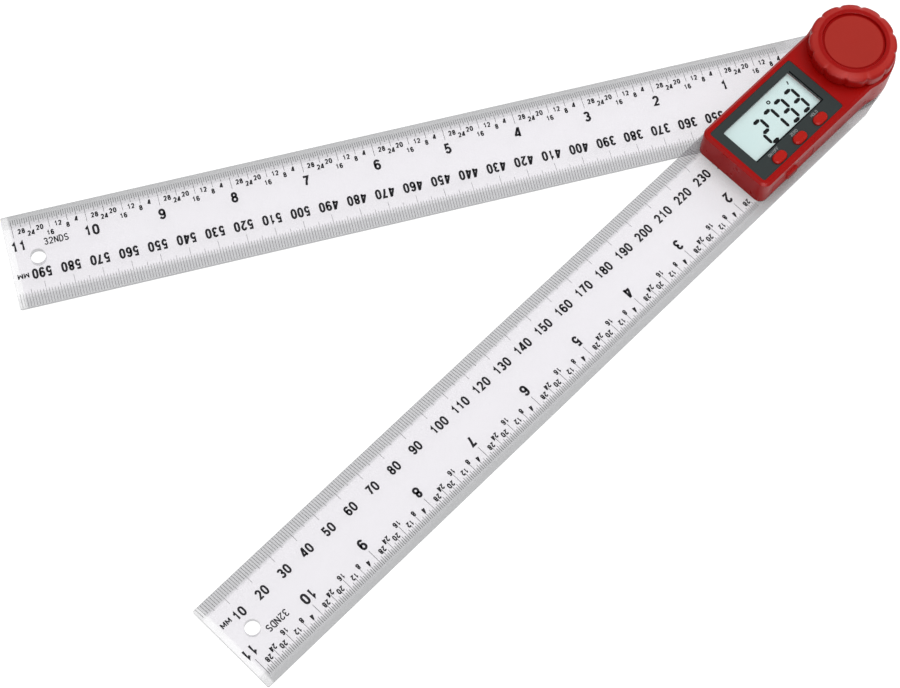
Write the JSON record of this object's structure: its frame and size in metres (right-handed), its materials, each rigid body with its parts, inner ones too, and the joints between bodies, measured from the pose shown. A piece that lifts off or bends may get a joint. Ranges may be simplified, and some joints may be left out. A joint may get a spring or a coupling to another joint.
{
  "type": "digital angle finder",
  "caption": "Digital angle finder: clear rule arms hinged under a red housing with a display, push buttons, a battery drawer and a locking knob.",
  "frame": {"origin": "centre of the flat back cap's underside, on the pivot axis", "axes": "+X along the base arm towards its tip, +Z along the pivot from the back cap to the locking knob; the swing arm rests 30.2 degrees clockwise of +X seen from above"},
  "size_m": [0.316, 0.1833, 0.026],
  "materials": {
    "clear_arm": "clear moulded acrylic with printed scales",
    "red_shell": "moulded red ABS, satin",
    "red_inlay": "finely textured red moulding",
    "red_button": "moulded red ABS, glossy",
    "dark_red_drawer": "moulded red ABS, satin",
    "plate_print": "dark printed panel",
    "clear_lens": "clear polished window",
    "display_pane": "reflective liquid-crystal cell",
    "black_rubber": "moulded elastomer",
    "board_green": "solder-masked laminate",
    "resin_black": "cured resin",
    "switch_white": "moulded nylon",
    "spring_steel": "nickel-plated spring strip",
    "steel_screw": "zinc-plated",
    "steel_stud": "turned steel",
    "brass_nut": "turned brass",
    "grey_hub": "moulded acetal",
    "white_ring": "slip film",
    "cell_steel": "stainless can"
  },
  "bodies": {
    "housing": {"base_arm": "clear_arm", "upper_case": "red_shell", "lower_case": "red_shell", "case_screws": "steel_screw", "display_plate": "plate_print", "display_lens": "clear_lens", "display_glass": "display_pane", "zebra_strips": "black_rubber", "main_board": "board_green", "controller_blob": "resin_black", "button_switches": "switch_white", "cell_top_contact": "spring_steel", "cell_side_contact": "spring_steel"},
    "swing": {"swing_arm": "clear_arm", "back_cap": "red_shell", "cap_screws": "steel_screw", "pivot_hub": "grey_hub", "pivot_stud": "steel_stud", "encoder_rotor": "board_green", "friction_ring": "white_ring"},
    "washer": {"thrust_washer": "steel_stud"},
    "knob": {"lock_knob": "red_shell", "knob_nut": "brass_nut", "knob_inlay": "red_inlay"},
    "drawer": {"battery_drawer": "dark_red_drawer", "coin_cell": "cell_steel"},
    "hold": {"hold_button": "red_button"},
    "zero": {"zero_button": "red_button"},
    "power": {"power_button": "red_button"}
  },
  "joints": [
    {"name": "arm_swing", "type": "hinge", "parent": "housing", "child": "swing", "pos_m": [0, 0, 0], "axis": [0, 0, 1], "continuous": true},
    {"name": "knob_lift", "type": "slide", "parent": "swing", "child": "washer", "axis": [0, 0, 1], "range_m": [0, 0.0004]},
    {"name": "knob_turn", "type": "hinge", "parent": "washer", "child": "knob", "pos_m": [0, 0, 0.023], "axis": [0, 0, 1], "range_deg": [0, 180]},
    {"name": "drawer_slide", "type": "slide", "parent": "housing", "child": "drawer", "axis": [0, 1, 0], "range_m": [0, 0.024]},
    {"name": "hold_press", "type": "slide", "parent": "housing", "child": "hold", "axis": [0, 0, -1], "range_m": [0, 0.0005], "stiffness_N_per_m": 400, "springref_m": -0.0004},
    {"name": "zero_press", "type": "slide", "parent": "housing", "child": "zero", "axis": [0, 0, -1], "range_m": [0, 0.0005], "stiffness_N_per_m": 400, "springref_m": -0.0004},
    {"name": "power_press", "type": "slide", "parent": "housing", "child": "power", "axis": [0, 0, -1], "range_m": [0, 0.0005], "stiffness_N_per_m": 400, "springref_m": -0.0004}
  ],
  "couplings": [
    {"joint": "knob_lift", "follows": "knob_turn", "m_per_rad": 0.00012732}
  ]
}
